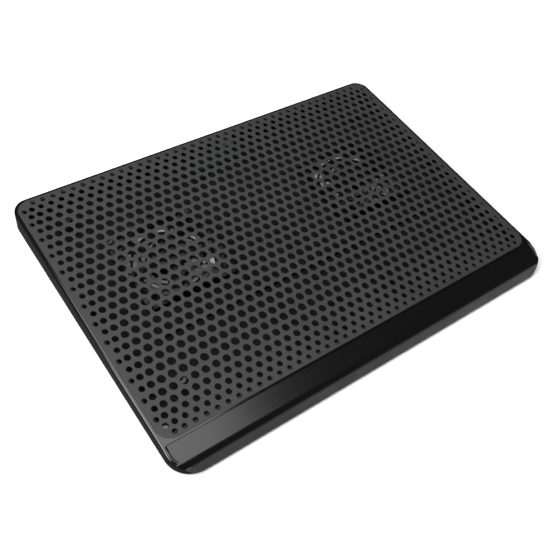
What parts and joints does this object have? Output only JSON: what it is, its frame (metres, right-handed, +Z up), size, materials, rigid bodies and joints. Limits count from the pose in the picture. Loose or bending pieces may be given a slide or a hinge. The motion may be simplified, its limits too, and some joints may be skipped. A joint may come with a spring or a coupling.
{
  "type": "laptop cooling pad",
  "caption": "Slim laptop cooling pad: sloped perforated metal deck with a glossy front lip over a shallow plastic case with fans and rear USB sockets.",
  "frame": {"origin": "on the table at the centre of the pad's outline, under the four rubber feet", "axes": "+X along the front edge towards the right, +Y towards the back, +Z up"},
  "size_m": [0.376, 0.27, 0.0216],
  "materials": {
    "mesh_metal": "matte powder coat",
    "foam": "matte foam",
    "gloss_black": "gloss",
    "gloss_lip": "high gloss",
    "shell_plastic": "satin",
    "fan_plastic": "satin",
    "rotor_plastic": "semi gloss",
    "magnet": "dull",
    "steel": "bright",
    "bronze": "sintered",
    "copper": "enamelled",
    "board": "solder mask",
    "lead_jacket": "smooth",
    "chip_plastic": "moulded",
    "socket_metal": "plated",
    "socket_plastic": "moulded",
    "rubber": "matte"
  },
  "bodies": {
    "root": {"top_mesh": "mesh_metal", "mesh_gasket": "foam", "top_frame": "gloss_black", "front_lip": "gloss_lip", "bottom_shell": "shell_plastic", "left_fan_housing": "fan_plastic", "right_fan_housing": "fan_plastic", "left_fan_bearing": "bronze", "right_fan_bearing": "bronze", "left_stator_core": "steel", "right_stator_core": "steel", "left_motor_coils": "copper", "right_motor_coils": "copper", "left_motor_board": "board", "right_motor_board": "board", "left_fan_leads": "lead_jacket", "right_fan_leads": "lead_jacket", "fan_screws": "steel", "circuit_board": "board", "board_parts": "chip_plastic", "board_screws": "steel", "usb_port_shell": "socket_metal", "usb_port_tongue": "socket_plastic", "usb_inlet_shell": "socket_metal", "usb_inlet_tongue": "chip_plastic", "switch_case": "socket_metal", "case_screws": "steel", "rubber_feet": "rubber"},
    "left_rotor": {"left_fan_rotor": "rotor_plastic", "left_rotor_magnet": "magnet", "left_fan_shaft": "steel"},
    "right_rotor": {"right_fan_rotor": "rotor_plastic", "right_rotor_magnet": "magnet", "right_fan_shaft": "steel"},
    "power_switch": {"switch_slider": "chip_plastic"}
  },
  "joints": [
    {"name": "left_fan_spin", "type": "hinge", "parent": "root", "child": "left_rotor", "pos_m": [-0.0975, 0.0335, 0.0116], "axis": [0, 0, 1], "continuous": true},
    {"name": "right_fan_spin", "type": "hinge", "parent": "root", "child": "right_rotor", "pos_m": [0.0975, 0.0335, 0.0116], "axis": [0, 0, 1], "continuous": true},
    {"name": "power_switch_slide", "type": "slide", "parent": "root", "child": "power_switch", "axis": [1, 0, 0], "range_m": [0, 0.003]}
  ]
}
